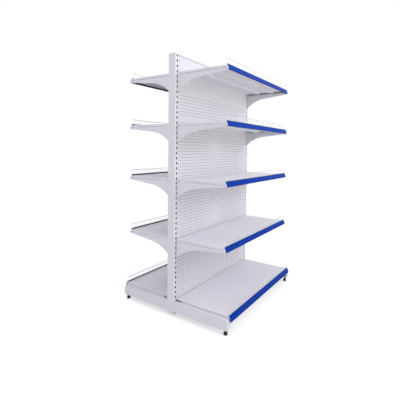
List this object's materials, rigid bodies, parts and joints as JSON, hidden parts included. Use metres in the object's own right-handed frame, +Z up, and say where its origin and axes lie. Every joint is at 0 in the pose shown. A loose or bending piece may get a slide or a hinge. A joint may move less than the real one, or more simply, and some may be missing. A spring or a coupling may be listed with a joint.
{
  "type": "gondola shelving unit",
  "caption": "Double-sided gondola shelving unit: slotted uprights, perforated back panels, hook-on trays with blue price strips and wire fences, base decks and levelling feet.",
  "frame": {"origin": "on the floor, under the middle of the unit", "axes": "+X along the bay, -Y towards the front side, +Z up"},
  "size_m": [1.04, 0.9564, 1.8],
  "materials": {
    "white_powder_coat": "satin powder coat, white with a cool tint",
    "blue_pvc": "glossy extruded plastic",
    "bright_wire": "bright plated wire",
    "black_foot": "matt black pad",
    "white_plastic": "moulded, fine grain"
  },
  "bodies": {
    "frame": {"upright_left": "white_powder_coat", "upright_right": "white_powder_coat", "upright_caps": "white_plastic", "tie_rails": "white_powder_coat", "back_panels_front": "white_powder_coat", "back_panels_rear": "white_powder_coat", "leg_front_left": "white_powder_coat", "leg_front_right": "white_powder_coat", "leg_rear_left": "white_powder_coat", "leg_rear_right": "white_powder_coat"},
    "base_deck_front": {"deck_front": "white_powder_coat", "deck_strip_front": "blue_pvc"},
    "base_fence_front": {"deck_fence_front": "bright_wire"},
    "shelf_front_1": {"tray_front_1": "white_powder_coat", "bracket_front_1_left": "white_powder_coat", "bracket_front_1_right": "white_powder_coat", "strip_front_1": "blue_pvc"},
    "shelf_fence_front_1": {"fence_front_1": "bright_wire"},
    "shelf_front_2": {"tray_front_2": "white_powder_coat", "bracket_front_2_left": "white_powder_coat", "bracket_front_2_right": "white_powder_coat", "strip_front_2": "blue_pvc"},
    "shelf_fence_front_2": {"fence_front_2": "bright_wire"},
    "shelf_front_3": {"tray_front_3": "white_powder_coat", "bracket_front_3_left": "white_powder_coat", "bracket_front_3_right": "white_powder_coat", "strip_front_3": "blue_pvc"},
    "shelf_fence_front_3": {"fence_front_3": "bright_wire"},
    "shelf_front_4": {"tray_front_4": "white_powder_coat", "bracket_front_4_left": "white_powder_coat", "bracket_front_4_right": "white_powder_coat", "strip_front_4": "blue_pvc"},
    "shelf_fence_front_4": {"fence_front_4": "bright_wire"},
    "levelling_foot_front_left": {"foot_front_left": "black_foot"},
    "levelling_foot_front_right": {"foot_front_right": "black_foot"},
    "base_deck_rear": {"deck_rear": "white_powder_coat", "deck_strip_rear": "blue_pvc"},
    "base_fence_rear": {"deck_fence_rear": "bright_wire"},
    "shelf_rear_1": {"tray_rear_1": "white_powder_coat", "bracket_rear_1_left": "white_powder_coat", "bracket_rear_1_right": "white_powder_coat", "strip_rear_1": "blue_pvc"},
    "shelf_fence_rear_1": {"fence_rear_1": "bright_wire"},
    "shelf_rear_2": {"tray_rear_2": "white_powder_coat", "bracket_rear_2_left": "white_powder_coat", "bracket_rear_2_right": "white_powder_coat", "strip_rear_2": "blue_pvc"},
    "shelf_fence_rear_2": {"fence_rear_2": "bright_wire"},
    "shelf_rear_3": {"tray_rear_3": "white_powder_coat", "bracket_rear_3_left": "white_powder_coat", "bracket_rear_3_right": "white_powder_coat", "strip_rear_3": "blue_pvc"},
    "shelf_fence_rear_3": {"fence_rear_3": "bright_wire"},
    "shelf_rear_4": {"tray_rear_4": "white_powder_coat", "bracket_rear_4_left": "white_powder_coat", "bracket_rear_4_right": "white_powder_coat", "strip_rear_4": "blue_pvc"},
    "shelf_fence_rear_4": {"fence_rear_4": "bright_wire"},
    "levelling_foot_rear_left": {"foot_rear_left": "black_foot"},
    "levelling_foot_rear_right": {"foot_rear_right": "black_foot"}
  },
  "joints": [
    {"name": "base_deck_front_lift", "type": "slide", "parent": "frame", "child": "base_deck_front", "axis": [0, 0, 1], "range_m": [0, 0.06]},
    {"name": "base_fence_front_lift", "type": "slide", "parent": "base_deck_front", "child": "base_fence_front", "axis": [0, 0, 1], "range_m": [0, 0.014]},
    {"name": "shelf_front_1_lift", "type": "slide", "parent": "frame", "child": "shelf_front_1", "axis": [0, 0, 1], "range_m": [0, 0.0076]},
    {"name": "shelf_fence_front_1_lift", "type": "slide", "parent": "shelf_front_1", "child": "shelf_fence_front_1", "axis": [0, 0, 1], "range_m": [0, 0.014]},
    {"name": "shelf_front_2_lift", "type": "slide", "parent": "frame", "child": "shelf_front_2", "axis": [0, 0, 1], "range_m": [0, 0.0076]},
    {"name": "shelf_fence_front_2_lift", "type": "slide", "parent": "shelf_front_2", "child": "shelf_fence_front_2", "axis": [0, 0, 1], "range_m": [0, 0.014]},
    {"name": "shelf_front_3_lift", "type": "slide", "parent": "frame", "child": "shelf_front_3", "axis": [0, 0, 1], "range_m": [0, 0.0076]},
    {"name": "shelf_fence_front_3_lift", "type": "slide", "parent": "shelf_front_3", "child": "shelf_fence_front_3", "axis": [0, 0, 1], "range_m": [0, 0.014]},
    {"name": "shelf_front_4_lift", "type": "slide", "parent": "frame", "child": "shelf_front_4", "axis": [0, 0, 1], "range_m": [0, 0.0076]},
    {"name": "shelf_fence_front_4_lift", "type": "slide", "parent": "shelf_front_4", "child": "shelf_fence_front_4", "axis": [0, 0, 1], "range_m": [0, 0.014]},
    {"name": "levelling_foot_front_left_screw", "type": "slide", "parent": "frame", "child": "levelling_foot_front_left", "axis": [0, 0, 1], "range_m": [-0.015, 0]},
    {"name": "levelling_foot_front_right_screw", "type": "slide", "parent": "frame", "child": "levelling_foot_front_right", "axis": [0, 0, 1], "range_m": [-0.015, 0]},
    {"name": "base_deck_rear_lift", "type": "slide", "parent": "frame", "child": "base_deck_rear", "axis": [0, 0, 1], "range_m": [0, 0.06]},
    {"name": "base_fence_rear_lift", "type": "slide", "parent": "base_deck_rear", "child": "base_fence_rear", "axis": [0, 0, 1], "range_m": [0, 0.014]},
    {"name": "shelf_rear_1_lift", "type": "slide", "parent": "frame", "child": "shelf_rear_1", "axis": [0, 0, 1], "range_m": [0, 0.0076]},
    {"name": "shelf_fence_rear_1_lift", "type": "slide", "parent": "shelf_rear_1", "child": "shelf_fence_rear_1", "axis": [0, 0, 1], "range_m": [0, 0.014]},
    {"name": "shelf_rear_2_lift", "type": "slide", "parent": "frame", "child": "shelf_rear_2", "axis": [0, 0, 1], "range_m": [0, 0.0076]},
    {"name": "shelf_fence_rear_2_lift", "type": "slide", "parent": "shelf_rear_2", "child": "shelf_fence_rear_2", "axis": [0, 0, 1], "range_m": [0, 0.014]},
    {"name": "shelf_rear_3_lift", "type": "slide", "parent": "frame", "child": "shelf_rear_3", "axis": [0, 0, 1], "range_m": [0, 0.0076]},
    {"name": "shelf_fence_rear_3_lift", "type": "slide", "parent": "shelf_rear_3", "child": "shelf_fence_rear_3", "axis": [0, 0, 1], "range_m": [0, 0.014]},
    {"name": "shelf_rear_4_lift", "type": "slide", "parent": "frame", "child": "shelf_rear_4", "axis": [0, 0, 1], "range_m": [0, 0.0076]},
    {"name": "shelf_fence_rear_4_lift", "type": "slide", "parent": "shelf_rear_4", "child": "shelf_fence_rear_4", "axis": [0, 0, 1], "range_m": [0, 0.014]},
    {"name": "levelling_foot_rear_left_screw", "type": "slide", "parent": "frame", "child": "levelling_foot_rear_left", "axis": [0, 0, 1], "range_m": [-0.015, 0]},
    {"name": "levelling_foot_rear_right_screw", "type": "slide", "parent": "frame", "child": "levelling_foot_rear_right", "axis": [0, 0, 1], "range_m": [-0.015, 0]}
  ]
}
